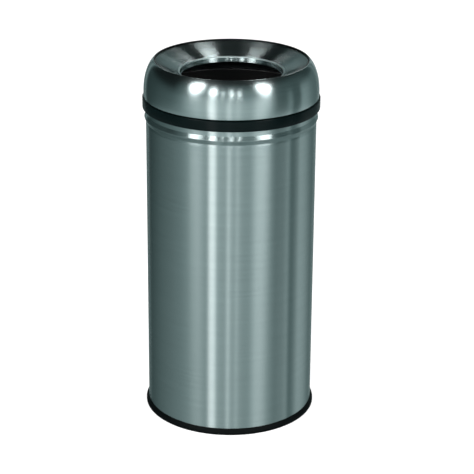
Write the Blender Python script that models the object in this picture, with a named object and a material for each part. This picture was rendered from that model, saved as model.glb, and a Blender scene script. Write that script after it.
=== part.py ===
"""Round flame-extinguishing waste bin, in metres with +Z up.

A rolled steel body stands in a moulded foot ring. A domed head with a funnel
mouth rests on the body through a moulded collar, and lifts off. A black coated
liner with a bail handle stands inside and lifts out. The origin is on the
floor at the bin's axis, and the bail lies to -Y.
"""

import math

import bmesh
import bpy
from mathutils import Vector

# Fits
GAP = 0.0003  # between pieces that rest on, or are fixed to, each other
CUT_OVERRUN = 0.003  # how far a cutter runs past what it cuts
WELD_DISTANCE = 0.000001  # points this close become one

# Body: rolled and welded tube of brushed stainless sheet
BODY_RADIUS = 0.150
BODY_RIM_HEIGHT = 0.5850  # top of the rolled rim above the floor
BODY_SHEET = 0.0008
RIM_ROLL_RADIUS = 0.0025
SWAGE_DROP = 0.0250  # from the rim's top down to the swage's upper edge
SWAGE_REACH = 0.0028  # its crest beyond the wall, before the crest is rounded
SWAGE_UPPER_SLOPE = math.radians(20)  # from upright
SWAGE_LOWER_SLOPE = math.radians(22.5)
SWAGE_TOP_ROUND = 0.0015
SWAGE_CREST_ROUND = 0.0020
GROOVE_DEPTH = 0.0005  # the swage's foot below the wall
GROOVE_SLOPE = math.radians(15)
GROOVE_ROUND = 0.0008
GROOVE_EASE = 0.0060  # round where the groove runs out into the wall

# Foot ring: a moulded channel pressed over the body's lower edge
FOOT_RING_HEIGHT = 0.0112
FOOT_RING_STAND_OUT = 0.0047  # beyond the body
FOOT_RING_FLOOR = 0.0027
FOOT_RING_INNER_WALL = 0.0028
FOOT_RING_INNER_DROP = 0.0023  # inner wall's top below the outer one's
FOOT_RING_LIP = 0.0008  # the outer wall at its top, before it slopes out
FOOT_RING_SHOULDER = 0.0060  # where the slope reaches the full stand-out
FOOT_RING_BOTTOM_ROUND = 0.0018

# Base plate: a pressed pan in the body's foot
BASE_PLATE_HEIGHT = 0.016
BASE_PLATE_ROUND = 0.003
BASE_DISH_RADIUS = 0.100
BASE_DISH_SLOPE_WIDTH = 0.004
BASE_DISH_DEPTH = 0.002

# Collar: a moulded ring between body and head
COLLAR_STAND_OUT = 0.0060  # beyond the body
COLLAR_PLAY = 0.0004  # skirt to body
COLLAR_SKIRT_DROP = 0.0155  # below the body's rim
COLLAR_WEB = 0.0027  # thickness over the rim
COLLAR_WEB_INSET = 0.0072  # web's inner edge inside the body's outside
COLLAR_TOP_ROUND = 0.0015
COLLAR_BOTTOM_ROUND = 0.0012
COLLAR_LEAD_IN = 0.0008

# Dome: spun outer skin of the head
DOME_SHEET = 0.0008
DOME_STAND_OUT = 0.0039  # widest point beyond the body
DOME_CORNER_RADIUS = 0.0022  # turned-in lower edge
DOME_FLANGE_INSET = 0.0064  # flange's inner edge inside the body's outside
DOME_STRAIGHT = 0.0073  # plain band above the lower corner
DOME_RISE = 0.0652  # flange to crest
CREST_INSET = 0.0150  # crest's circle inside the body's outside
CREST_ROLL_RADIUS = 0.0025
DOME_ARC = math.radians(69)  # how much of the dome's ellipse is used
CREST_ROLL_END = math.radians(186)

# Funnel: spun mouth that hangs from the crest
FUNNEL_SHEET = 0.0008
THROAT_RADIUS = 0.0880  # inside the hem
THROAT_DROP = 0.0216  # crest down to the corner of cone and neck
THROAT_BEND_RADIUS = 0.0020
THROAT_NECK = 0.0069  # that corner down to the hem
THROAT_NECK_TILT = math.radians(12)  # from upright, narrowing downwards
THROAT_HEM_RADIUS = 0.0011
THROAT_HEM_END = math.radians(300)
FUNNEL_RIM_WIDTH = 0.0033  # flat rim that the crest's roll holds

# Collar rivets: fix the dome's flange to the collar's web
COLLAR_RIVET_COUNT = 6
COLLAR_RIVET_SHANK = 0.0016
COLLAR_RIVET_HEAD = 0.0028
COLLAR_RIVET_HEAD_HEIGHT = 0.0008
COLLAR_RIVET_TAIL = 0.0024
COLLAR_RIVET_TAIL_HEIGHT = 0.0014
COLLAR_COUNTERBORE_DEPTH = 0.0012

# Liner: rolled and coated steel tube with a wired rim and a pressed bottom
LINER_RIM_PLAY = 0.0010  # wired rim to the collar's bore, which it passes through
LINER_SHEET = 0.0007
LINER_STAND_UP = 0.0128  # wired rim's top above the body's rim
LINER_WIRE_RADIUS = 0.0015
LINER_BOTTOM_RISE = 0.0080
LINER_BOTTOM_ROUND = 0.0030
LINER_CURL_START = math.pi
LINER_CURL_END = math.radians(-95)

# Ears and bail
EAR_WIDTH = 0.022
EAR_THICKNESS = 0.0015
EAR_BELOW_RIM = 0.028  # ear's foot below the rim's top
EAR_TOP_MARGIN = 0.0075  # pivot's middle to the ear's top
EAR_RIVET_SHANK = 0.0018
EAR_RIVET_HEAD = 0.0036
EAR_RIVET_HEAD_HEIGHT = 0.0015
EAR_RIVET_TAIL = 0.0030
EAR_RIVET_TAIL_HEIGHT = 0.0014
EAR_RIVET_MARGIN = 0.0055  # ear's foot to the lower rivet
EAR_RIVET_PITCH = 0.0105
BAIL_WIRE_RADIUS = 0.0020
BAIL_BEND_RADIUS = 0.0040
BAIL_STOP_RADIUS = 0.0032  # upset end inside the ear
BAIL_STOP_THICKNESS = 0.0015
BAIL_STOP_STEP = 0.0002

# Facets
BODY_STEPS = 48
LINER_STEPS = 36
RIVET_STEPS = 12
HOLE_STEPS = 16
CORNER_STEPS = 2
SWAGE_ROUND_STEPS = 3
ROLL_STEPS = 4
DOME_STEPS = 6
HEM_STEPS = 5
CURL_STEPS = 6
BAIL_ARC_STEPS = 28
BAIL_BEND_STEPS = 3
BAIL_BEVEL_RESOLUTION = 2
WIRE_STEPS = 6
SHARP_ANGLE = math.radians(32)

# A rivet head's crown, as shares of its radius and height
CROWN_RADIUS_SHARE = 0.7
CROWN_EDGE_SHARE = 0.4

# Levels and radii that several pieces share
CHANNEL_OUTER = BODY_RADIUS + GAP
CHANNEL_INNER = BODY_RADIUS - BODY_SHEET - GAP - BODY_SHEET - GAP
BODY_FOOT = FOOT_RING_FLOOR + GAP
BODY_INSIDE = BODY_RADIUS - BODY_SHEET
WEB_BOTTOM = BODY_RIM_HEIGHT + GAP
WEB_TOP = WEB_BOTTOM + COLLAR_WEB
WEB_INSIDE = BODY_RADIUS - COLLAR_WEB_INSET
SKIRT_INSIDE = BODY_RADIUS + COLLAR_PLAY
DOME_FLANGE = WEB_TOP + GAP
DOME_RADIUS = BODY_RADIUS + DOME_STAND_OUT
CREST_HEIGHT = DOME_FLANGE + DOME_RISE
CREST_RADIUS = BODY_RADIUS - CREST_INSET
CREST_CENTRE_HEIGHT = CREST_HEIGHT - CREST_ROLL_RADIUS
COLLAR_RIVET_CIRCLE = (WEB_INSIDE + SKIRT_INSIDE) / 2
LINER_FOOT = BASE_PLATE_HEIGHT + GAP
LINER_RIM_HEIGHT = BODY_RIM_HEIGHT + LINER_STAND_UP
CURL_INNER_RADIUS = LINER_WIRE_RADIUS + GAP
CURL_RADIUS = CURL_INNER_RADIUS + LINER_SHEET
CURL_CENTRE_RADIUS = WEB_INSIDE - LINER_RIM_PLAY - CURL_RADIUS
LINER_RADIUS = CURL_CENTRE_RADIUS - CURL_INNER_RADIUS
CURL_CENTRE_HEIGHT = LINER_RIM_HEIGHT - CURL_RADIUS
LINER_INSIDE = LINER_RADIUS - LINER_SHEET
PIVOT_HEIGHT = LINER_RIM_HEIGHT + GAP + BAIL_WIRE_RADIUS
EAR_FOOT = LINER_RIM_HEIGHT - EAR_BELOW_RIM
LINER_FLAT_INSIDE = LINER_INSIDE * math.cos(math.pi / LINER_STEPS)
EAR_OUTSIDE = math.sqrt(LINER_FLAT_INSIDE**2 - (EAR_WIDTH / 2) ** 2) - GAP
EAR_INSIDE = EAR_OUTSIDE - EAR_THICKNESS


def clear_scene():
    """An empty scene, with the startup objects gone."""
    for item in list(bpy.data.objects):
        bpy.data.objects.remove(item, do_unlink=True)


def finish(name, colour, roughness, metallic):
    """A Principled material in one colour."""
    material = bpy.data.materials.new(name)
    material.use_nodes = True
    shader = material.node_tree.nodes["Principled BSDF"]
    shader.inputs["Base Color"].default_value = (*colour, 1)
    shader.inputs["Roughness"].default_value = roughness
    shader.inputs["Metallic"].default_value = metallic
    material.diffuse_color = (*colour, 1)
    return material


def arc(centre, radius, start, end, steps):
    """Points along an arc, as (radius, height) pairs, both ends included."""
    points = []
    for step in range(steps + 1):
        angle = start + (end - start) * step / steps
        points.append((centre[0] + radius * math.cos(angle), centre[1] + radius * math.sin(angle)))
    return points


def sheet(path, thickness):
    """A closed outline of sheet whose right-hand face follows path."""
    face = [Vector(point) for point in path]
    back = []
    for i, here in enumerate(face):
        arriving = (here - face[i - 1]).normalized() if i else None
        leaving = (face[i + 1] - here).normalized() if i + 1 < len(face) else None
        along = (arriving or leaving) + (leaving or arriving)
        along.normalize()
        left = Vector((-along.y, along.x))
        square_on = arriving or leaving
        mitre = left.dot(Vector((-square_on.y, square_on.x)))
        back.append(here + left * thickness / mitre)
    return [tuple(point) for point in face + back[::-1]]


def object_from(name, shape, material):
    """A smooth-shaded object with its normals out, from a bmesh."""
    bmesh.ops.remove_doubles(shape, verts=shape.verts, dist=WELD_DISTANCE)
    bmesh.ops.recalc_face_normals(shape, faces=shape.faces)
    mesh = bpy.data.meshes.new(name)
    shape.to_mesh(mesh)
    shape.free()
    mesh.shade_smooth()
    mesh.set_sharp_from_angle(angle=SHARP_ANGLE)
    if material:
        mesh.materials.append(material)
    made = bpy.data.objects.new(name, mesh)
    bpy.context.collection.objects.link(made)
    return made


def turned(name, outline, steps, material):
    """A closed outline turned about the Z axis; points at radius 0 meet there."""
    shape = bmesh.new()
    points = [shape.verts.new((radius, 0, height)) for radius, height in outline]
    edges = []
    for i, point in enumerate(points):
        if outline[i][0] > 0 or outline[i - 1][0] > 0:
            edges.append(shape.edges.new((points[i - 1], point)))
    bmesh.ops.spin(
        shape,
        geom=points + edges,
        cent=(0, 0, 0),
        axis=(0, 0, 1),
        angle=math.tau,
        steps=steps,
        use_merge=True,
    )
    return object_from(name, shape, material)


def as_cutter(cutter):
    """Keeps a cutter out of the finished model."""
    cutter.hide_render = True
    cutter.display_type = "WIRE"
    return cutter


def cylinders(name, radius, depth, centres, along_x=False):
    """One cutter made of like cylinders, standing up or lying along X."""
    shape = bmesh.new()
    for centre in centres:
        made = bmesh.ops.create_cone(
            shape,
            cap_ends=True,
            segments=HOLE_STEPS,
            radius1=radius,
            radius2=radius,
            depth=depth,
        )
        for vert in made["verts"]:
            if along_x:
                vert.co = Vector((vert.co.z, vert.co.x, vert.co.y))
            vert.co += Vector(centre)
    return as_cutter(object_from(name, shape, None))


def cut(piece, *cutters):
    """Takes each cutter away from the piece."""
    for cutter in cutters:
        modifier = piece.modifiers.new(cutter.name, "BOOLEAN")
        modifier.operation = "DIFFERENCE"
        modifier.solver = "EXACT"
        modifier.object = cutter


def rounded(corners, steps):
    """A path past the corners between two ends, each turned on an arc.

    An end is a (radius, height) pair, and a corner has its rounding as well.
    """
    path = []
    for before, corner, after in zip(corners, corners[1:], corners[2:]):
        here = Vector(corner[:2])
        rounding = corner[2]
        arriving = (here - Vector(before[:2])).normalized()
        leaving = (Vector(after[:2]) - here).normalized()
        turn = math.atan2(arriving.cross(leaving), arriving.dot(leaving))
        start = here - arriving * rounding * math.tan(abs(turn) / 2)
        inward = Vector((-arriving.y, arriving.x)) * math.copysign(1, turn)
        centre = start + inward * rounding
        first = math.atan2(-inward.y, -inward.x)
        path += arc(centre, rounding, first, first + turn, steps)
    return path


def swage(foot, roll_height):
    """The wall's outer face: a groove, then a swage that stands out above it."""
    top = BODY_RIM_HEIGHT - SWAGE_DROP
    crest = top - SWAGE_REACH / math.tan(SWAGE_UPPER_SLOPE)
    groove = crest - (SWAGE_REACH + GROOVE_DEPTH) / math.tan(SWAGE_LOWER_SLOPE)
    run_out = groove - GROOVE_DEPTH / math.tan(GROOVE_SLOPE)
    corners = [
        (BODY_RADIUS, foot),
        (BODY_RADIUS, run_out, GROOVE_EASE),
        (BODY_RADIUS - GROOVE_DEPTH, groove, GROOVE_ROUND),
        (BODY_RADIUS + SWAGE_REACH, crest, SWAGE_CREST_ROUND),
        (BODY_RADIUS, top, SWAGE_TOP_ROUND),
        (BODY_RADIUS, roll_height),
    ]
    return rounded(corners, SWAGE_ROUND_STEPS)


def body_shell(steel):
    """Tube with a swage below its rim, and its rim rolled inwards."""
    roll = (BODY_RADIUS - RIM_ROLL_RADIUS, BODY_RIM_HEIGHT - RIM_ROLL_RADIUS)
    path = [(BODY_RADIUS, BODY_FOOT)]
    path += swage(BODY_FOOT, roll[1])
    path += arc(roll, RIM_ROLL_RADIUS, 0, math.pi, ROLL_STEPS)
    path.append((roll[0] - RIM_ROLL_RADIUS, roll[1] - RIM_ROLL_RADIUS))
    return turned("body_shell", sheet(path, BODY_SHEET), BODY_STEPS, steel)


def base_plate(steel):
    """Pressed pan: a flange inside the body's foot, a flat ring and a shallow dish."""
    outside = BODY_INSIDE - GAP
    corner = (outside - BASE_PLATE_ROUND, BASE_PLATE_HEIGHT - BASE_PLATE_ROUND)
    path = [(outside, BODY_FOOT)]
    path += arc(corner, BASE_PLATE_ROUND, 0, math.pi / 2, CORNER_STEPS)
    path.append((BASE_DISH_RADIUS, BASE_PLATE_HEIGHT))
    path.append((BASE_DISH_RADIUS - BASE_DISH_SLOPE_WIDTH, BASE_PLATE_HEIGHT - BASE_DISH_DEPTH))
    path.append((0, BASE_PLATE_HEIGHT - BASE_DISH_DEPTH))
    return turned("base_plate", sheet(path, BODY_SHEET), BODY_STEPS, steel)


def base_ring(rubber):
    """Channel that takes the body's edge and the base plate's flange.

    Its outer wall slopes out from a thin lip against the body.
    """
    outside = BODY_RADIUS + FOOT_RING_STAND_OUT
    inside = CHANNEL_INNER - FOOT_RING_INNER_WALL
    inner_top = FOOT_RING_HEIGHT - FOOT_RING_INNER_DROP
    low = (outside - FOOT_RING_BOTTOM_ROUND, FOOT_RING_BOTTOM_ROUND)
    outline = [(inside, 0)]
    outline += arc(low, FOOT_RING_BOTTOM_ROUND, -math.pi / 2, 0, CORNER_STEPS)
    outline.append((outside, FOOT_RING_SHOULDER))
    outline.append((CHANNEL_OUTER + FOOT_RING_LIP, FOOT_RING_HEIGHT))
    outline.append((CHANNEL_OUTER, FOOT_RING_HEIGHT))
    outline.append((CHANNEL_OUTER, FOOT_RING_FLOOR))
    outline.append((CHANNEL_INNER, FOOT_RING_FLOOR))
    outline.append((CHANNEL_INNER, inner_top))
    outline.append((inside, inner_top))
    return turned("base_ring", outline, BODY_STEPS, rubber)


def head_collar(plastic):
    """Skirt outside the body, a web over its rim and a ledge for the dome."""
    outside = BODY_RADIUS + COLLAR_STAND_OUT
    bottom = BODY_RIM_HEIGHT - COLLAR_SKIRT_DROP
    low = (outside - COLLAR_BOTTOM_ROUND, bottom + COLLAR_BOTTOM_ROUND)
    high = (outside - COLLAR_TOP_ROUND, WEB_TOP - COLLAR_TOP_ROUND)
    outline = [(SKIRT_INSIDE + COLLAR_LEAD_IN, bottom)]
    outline += arc(low, COLLAR_BOTTOM_ROUND, -math.pi / 2, 0, CORNER_STEPS)
    outline += arc(high, COLLAR_TOP_ROUND, 0, math.pi / 2, CORNER_STEPS)
    outline.append((WEB_INSIDE, WEB_TOP))
    outline.append((WEB_INSIDE, WEB_BOTTOM))
    outline.append((SKIRT_INSIDE, WEB_BOTTOM))
    outline.append((SKIRT_INSIDE, bottom + COLLAR_LEAD_IN))
    return turned("head_collar", outline, BODY_STEPS, plastic)


def dome_path():
    """The dome's outer face, from its flange round the side to the crest's tip.

    The side runs at the roll's radius outside an ellipse that ends in the
    roll's centre, so the two join smoothly.
    """
    corner = (DOME_RADIUS - DOME_CORNER_RADIUS, DOME_FLANGE + DOME_CORNER_RADIUS)
    side = DOME_FLANGE + DOME_CORNER_RADIUS + DOME_STRAIGHT
    across = (DOME_RADIUS - CREST_ROLL_RADIUS - CREST_RADIUS) / (1 - math.cos(DOME_ARC))
    upward = (CREST_CENTRE_HEIGHT - side) / math.sin(DOME_ARC)
    centre = DOME_RADIUS - CREST_ROLL_RADIUS - across
    path = [(BODY_RADIUS - DOME_FLANGE_INSET, DOME_FLANGE)]
    path += arc(corner, DOME_CORNER_RADIUS, -math.pi / 2, 0, CORNER_STEPS + 1)
    for step in range(DOME_STEPS + 1):
        angle = DOME_ARC * step / DOME_STEPS
        on_ellipse = Vector((centre + across * math.cos(angle), side + upward * math.sin(angle)))
        out = Vector((math.cos(angle) / across, math.sin(angle) / upward)).normalized()
        path.append(tuple(on_ellipse + out * CREST_ROLL_RADIUS))
    roll_start = math.atan2(out.y, out.x)
    crest = (CREST_RADIUS, CREST_CENTRE_HEIGHT)
    path += arc(crest, CREST_ROLL_RADIUS, roll_start, CREST_ROLL_END, ROLL_STEPS)[1:]
    return path


def head_dome(steel):
    """Outer skin, with its lower edge turned in and its top edge rolled over."""
    return turned("head_dome", sheet(dome_path(), DOME_SHEET), BODY_STEPS, steel)


def head_funnel(steel):
    """Flat rim under the crest's roll, a cone, a tapered neck and a rolled hem inside it."""
    tip = dome_path()[-1]
    cone_start = (tip[0] + GAP, tip[1] - GAP)
    corner_height = CREST_HEIGHT - THROAT_DROP
    neck_foot = (THROAT_RADIUS + THROAT_HEM_RADIUS, corner_height - THROAT_NECK)
    corner_radius = neck_foot[0] + THROAT_NECK * math.tan(THROAT_NECK_TILT)
    corner = (corner_radius, corner_height, THROAT_BEND_RADIUS)
    hem = (neck_foot[0], neck_foot[1] - THROAT_HEM_RADIUS)
    path = [(cone_start[0] + FUNNEL_RIM_WIDTH, cone_start[1]), cone_start]
    path += rounded([cone_start, corner, neck_foot], CORNER_STEPS + 1)
    path += arc(hem, THROAT_HEM_RADIUS, math.pi / 2, THROAT_HEM_END, HEM_STEPS)
    return turned("head_funnel", sheet(path, FUNNEL_SHEET), BODY_STEPS, steel)


def rivet_outline(head, head_height, shank, grip, tail, tail_height):
    """A rivet along Z with its head below 0 and its tail above the grip."""
    return [
        (0, -head_height),
        (head * CROWN_RADIUS_SHARE, -head_height),
        (head, -head_height * CROWN_EDGE_SHARE),
        (head, 0),
        (shank, 0),
        (shank, grip),
        (tail, grip),
        (tail, grip + tail_height * CROWN_EDGE_SHARE),
        (tail * CROWN_RADIUS_SHARE, grip + tail_height),
        (0, grip + tail_height),
    ]


def collar_rivet_places():
    """Where the rivets stand on their circle, half a pitch away from the ears."""
    places = []
    for i in range(COLLAR_RIVET_COUNT):
        angle = math.tau * (i + 1 / 2) / COLLAR_RIVET_COUNT
        x = COLLAR_RIVET_CIRCLE * math.cos(angle)
        y = COLLAR_RIVET_CIRCLE * math.sin(angle)
        places.append((x, y))
    return places


def collar_rivets(zinc, collar, dome):
    """Rivets up through the collar's web and the dome's flange, heads sunk below."""
    seat = WEB_BOTTOM + COLLAR_COUNTERBORE_DEPTH
    grip = DOME_FLANGE + DOME_SHEET + GAP - seat + GAP
    outline = rivet_outline(
        COLLAR_RIVET_HEAD,
        COLLAR_RIVET_HEAD_HEIGHT,
        COLLAR_RIVET_SHANK,
        grip,
        COLLAR_RIVET_TAIL,
        COLLAR_RIVET_TAIL_HEIGHT,
    )
    places = collar_rivet_places()
    reach = CUT_OVERRUN + COLLAR_WEB + DOME_SHEET + CUT_OVERRUN
    holes = [(x, y, WEB_TOP) for x, y in places]
    sinks = [(x, y, seat - CUT_OVERRUN / 2) for x, y in places]
    shank_cutter = cylinders("collar_hole_cutter", COLLAR_RIVET_SHANK + GAP, reach + reach, holes)
    sink_cutter = cylinders("collar_sink_cutter", COLLAR_RIVET_HEAD + GAP, CUT_OVERRUN, sinks)
    cut(collar, shank_cutter, sink_cutter)
    cut(dome, shank_cutter)
    rivets = []
    for number, (x, y) in enumerate(places, start=1):
        rivet = turned(f"collar_rivet_{number}", outline, RIVET_STEPS, zinc)
        rivet.location = (x, y, seat - GAP)
        rivets.append(rivet)
    return rivets


def liner_wall(coated):
    """Tube whose rim is curled outwards round a wire."""
    curl = (CURL_CENTRE_RADIUS, CURL_CENTRE_HEIGHT)
    path = [(LINER_RADIUS, LINER_FOOT)]
    path += arc(curl, CURL_INNER_RADIUS, LINER_CURL_START, LINER_CURL_END, CURL_STEPS)
    return turned("liner_wall", sheet(path, LINER_SHEET), LINER_STEPS, coated)


def liner_rim_wire(zinc):
    """Stiffening wire inside the curl."""
    curl = (CURL_CENTRE_RADIUS, CURL_CENTRE_HEIGHT)
    outline = arc(curl, LINER_WIRE_RADIUS, 0, math.tau, WIRE_STEPS)[:-1]
    return turned("liner_rim_wire", outline, LINER_STEPS, zinc)


def liner_bottom(coated):
    """Pressed bottom with its flange down inside the wall."""
    outside = LINER_INSIDE - GAP
    top = LINER_FOOT + LINER_BOTTOM_RISE
    corner = (outside - LINER_BOTTOM_ROUND, top - LINER_BOTTOM_ROUND)
    path = [(outside, LINER_FOOT)]
    path += arc(corner, LINER_BOTTOM_ROUND, 0, math.pi / 2, CORNER_STEPS)
    path.append((0, top))
    return turned("liner_bottom", sheet(path, LINER_SHEET), LINER_STEPS, coated)


def ear_rivet_heights():
    """The heights of the lower and the upper rivet of an ear."""
    lower = EAR_FOOT + EAR_RIVET_MARGIN
    return {"lower": lower, "upper": lower + EAR_RIVET_PITCH}


def ear_loops():
    """The ear's outline, round at its top, and its three holes, as (y, z) points."""
    half = EAR_WIDTH / 2
    shoulder = PIVOT_HEIGHT + EAR_TOP_MARGIN - half
    outline = [(-half, EAR_FOOT), (half, EAR_FOOT)]
    outline += arc((0, shoulder), half, 0, math.pi, HOLE_STEPS // 2)
    loops = [outline]
    loops.append(arc((0, PIVOT_HEIGHT), BAIL_WIRE_RADIUS + GAP, 0, math.tau, HOLE_STEPS)[1:])
    for height in ear_rivet_heights().values():
        loops.append(arc((0, height), EAR_RIVET_SHANK + GAP, 0, math.tau, HOLE_STEPS)[1:])
    return loops


def liner_ear(name, zinc, side):
    """A strap inside the liner's wall that stands up past the rim."""
    shape = bmesh.new()
    edges = []
    for loop in ear_loops():
        points = [shape.verts.new((side * EAR_INSIDE, y, z)) for y, z in loop]
        edges += [shape.edges.new((points[i - 1], point)) for i, point in enumerate(points)]
    bmesh.ops.triangle_fill(shape, edges=edges, use_beauty=True)
    grown = bmesh.ops.extrude_face_region(shape, geom=list(shape.faces))
    moved = [item for item in grown["geom"] if isinstance(item, bmesh.types.BMVert)]
    bmesh.ops.translate(shape, verts=moved, vec=(side * EAR_THICKNESS, 0, 0))
    return object_from(name, shape, zinc)


def liner_ears(zinc, wall):
    """Two ears, each held by two rivets through the liner's wall."""
    heights = ear_rivet_heights()
    cutter = cylinders(
        "ear_hole_cutter",
        EAR_RIVET_SHANK + GAP,
        2 * (LINER_RADIUS + CUT_OVERRUN),
        [(0, 0, height) for height in heights.values()],
        along_x=True,
    )
    cut(wall, cutter)
    outline = rivet_outline(
        EAR_RIVET_HEAD,
        EAR_RIVET_HEAD_HEIGHT,
        EAR_RIVET_SHANK,
        LINER_RADIUS + GAP - EAR_INSIDE + GAP,
        EAR_RIVET_TAIL,
        EAR_RIVET_TAIL_HEIGHT,
    )
    made = []
    for label, side in (("right", 1), ("left", -1)):
        made.append(liner_ear(f"liner_ear_{label}", zinc, side))
        for place, height in heights.items():
            rivet = turned(f"ear_rivet_{label}_{place}", outline, RIVET_STEPS, zinc)
            rivet.location = (side * (LINER_RADIUS + GAP), 0, height)
            rivet.rotation_euler = (0, -side * math.pi / 2, 0)
            made.append(rivet)
    return made


def bail_points():
    """The bail's centre line about its pivot, from one upset end to the other."""
    hoop = CURL_CENTRE_RADIUS
    bend_x = math.sqrt((hoop - BAIL_BEND_RADIUS) ** 2 - BAIL_BEND_RADIUS**2)
    tangent = -math.asin(BAIL_BEND_RADIUS / (hoop - BAIL_BEND_RADIUS))
    stop_end = EAR_INSIDE - GAP
    stop_start = stop_end - BAIL_STOP_THICKNESS
    thick = BAIL_STOP_RADIUS / BAIL_WIRE_RADIUS
    half = [(stop_start, 0, thick), (stop_end, 0, thick)]
    half.append((stop_end + BAIL_STOP_STEP, 0, 1))
    bend = arc((bend_x, -BAIL_BEND_RADIUS), BAIL_BEND_RADIUS, math.pi / 2, tangent, BAIL_BEND_STEPS)
    half += [(x, y, 1) for x, y in bend]
    hoop_arc = arc((0, 0), hoop, tangent, -math.pi / 2, BAIL_ARC_STEPS // 2)
    half += [(x, y, 1) for x, y in hoop_arc[1:]]
    return half + [(-x, y, thickness) for x, y, thickness in half[-2::-1]]


def liner_bail(zinc):
    """Half hoop of wire that lies on the rim, its ends turned in through the ears."""
    curve = bpy.data.curves.new("liner_bail", "CURVE")
    curve.dimensions = "3D"
    curve.bevel_depth = BAIL_WIRE_RADIUS
    curve.bevel_resolution = BAIL_BEVEL_RESOLUTION
    curve.use_fill_caps = True
    points = bail_points()
    spline = curve.splines.new("POLY")
    spline.points.add(len(points) - 1)
    for point, (x, y, thickness) in zip(spline.points, points):
        point.co = (x, y, 0, 1)
        point.radius = thickness
    spline.use_smooth = True
    curve.materials.append(zinc)
    bail = bpy.data.objects.new("liner_bail", curve)
    bpy.context.collection.objects.link(bail)
    bail.location = (0, 0, PIVOT_HEIGHT)
    return bail


def group(name, pieces, parent=None, height=0):
    """Hangs pieces on an empty that stands on their joint's axis."""
    empty = bpy.data.objects.new(name, None)
    bpy.context.collection.objects.link(empty)
    empty.location = (0, 0, height)
    if parent:
        empty.parent = parent
        empty.matrix_parent_inverse = parent.matrix_world.inverted()
    bpy.context.view_layer.update()
    for piece in pieces:
        piece.parent = empty
        piece.matrix_parent_inverse = empty.matrix_world.inverted()
    return empty


def main():
    """Builds every piece and hangs it on its moving group."""
    clear_scene()
    stainless = finish("brushed_stainless", (0.46, 0.52, 0.52), 0.33, 1)
    galvanised = finish("galvanised_steel", (0.60, 0.63, 0.65), 0.48, 1)
    plated = finish("zinc_plated_steel", (0.66, 0.67, 0.66), 0.35, 1)
    coated = finish("black_coated_steel", (0.010, 0.012, 0.013), 0.45, 0)
    black_rubber = finish("black_rubber", (0.012, 0.015, 0.016), 0.55, 0)
    black_plastic = finish("black_plastic", (0.012, 0.015, 0.016), 0.42, 0)

    fixed = [body_shell(stainless), base_plate(galvanised), base_ring(black_rubber)]
    group("body", fixed)

    wall = liner_wall(coated)
    liner = [wall, liner_rim_wire(plated), liner_bottom(coated)]
    liner_group = group("liner_lift", liner + liner_ears(plated, wall))

    collar = head_collar(black_plastic)
    dome = head_dome(stainless)
    head = [collar, dome, head_funnel(stainless)] + collar_rivets(plated, collar, dome)
    group("head_lift", head, liner_group)

    group("bail_swing", [liner_bail(plated)], liner_group, PIVOT_HEIGHT)


if __name__ == "__main__":
    main()
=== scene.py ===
"""Flame-extinguishing waste bin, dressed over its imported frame.

A brushed stainless body stands on a rubber foot ring. Its head, a spun dome
with a funnel mouth on a moulded collar, lifts off, and the powder-coated liner
lifts out by its bail. Lengths are in metres, with +Z up the bin's axis, the
origin on the floor and the camera on the -Y side.
"""

import math

import bmesh
import bpy
from mathutils import Matrix, Vector


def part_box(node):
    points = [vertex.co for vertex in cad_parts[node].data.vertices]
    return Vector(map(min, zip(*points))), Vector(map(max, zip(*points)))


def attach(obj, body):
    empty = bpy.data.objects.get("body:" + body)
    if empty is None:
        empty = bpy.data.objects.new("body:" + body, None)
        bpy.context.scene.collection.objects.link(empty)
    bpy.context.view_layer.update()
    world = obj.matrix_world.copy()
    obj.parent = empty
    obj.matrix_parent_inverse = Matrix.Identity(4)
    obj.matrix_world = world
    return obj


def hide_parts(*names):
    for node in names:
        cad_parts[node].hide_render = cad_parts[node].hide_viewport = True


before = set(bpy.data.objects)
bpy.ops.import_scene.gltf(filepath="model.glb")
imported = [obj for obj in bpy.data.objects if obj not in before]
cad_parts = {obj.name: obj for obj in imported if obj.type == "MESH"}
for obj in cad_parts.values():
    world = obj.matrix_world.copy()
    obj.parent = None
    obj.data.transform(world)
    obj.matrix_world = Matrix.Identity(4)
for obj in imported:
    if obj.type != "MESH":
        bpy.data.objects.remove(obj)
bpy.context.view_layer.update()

bl_info = {
    "name": "Flame-Extinguishing Waste Bin",
    "version": (1, 0, 0),
    "blender": (4, 5, 0),
    "location": "3D View > Sidebar > Waste Bin",
    "description": "Dresses the packed waste bin with turned sheet metal, fittings and a studio",
    "category": "Add Mesh",
}

# Fits and sheet
GAP = 0.0003  # between pieces that rest on, or are fixed to, each other
WELD_DISTANCE = 0.000001  # points this close become one
STEEL_SHEET = 0.0008  # body, base plate, dome and funnel
LINER_SHEET = 0.0007
PAN_ROUND = 0.003  # where a pressed bottom turns down into its flange

# Facets, fine enough that no outline shows a corner
TURNED_STEPS = 192
RIVET_STEPS = 28
HOLE_STEPS = 32
SMALL_ROUND_STEPS = 6
SWAGE_ROUND_STEPS = 12
ROLL_STEPS = 14
DOME_STEPS = 44
BAIL_ARC_STEPS = 96
BAIL_BEND_STEPS = 10
BAIL_BEVEL_RESOLUTION = 6
WIRE_STEPS = 20
CROWN_STEPS = 5
SHARP_ANGLE = math.radians(35)

# Patterns of the finishes, as wide and as deep as they are drawn
GRIT_SPACING = 0.0012
BELT_PASS_SPACING = 0.009
CRYSTAL_WIDTH = 0.007
HAZE_WIDTH = 0.0015
CLOUD_WIDTH = 0.004
FLOW_WIDTH = 0.03
PEEL_WIDTH = 0.0018
RUBBER_GRAIN = 0.0008
PLASTIC_GRAIN = 0.001
METAL_RELIEF = 0.00003
COAT_RELIEF = 0.00003
RUBBER_RELIEF = 0.00004
PLASTIC_RELIEF = 0.00001
MIDDLE = {"From Min": 0.3, "From Max": 0.7}  # the part of a noise's range that it fills

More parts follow.
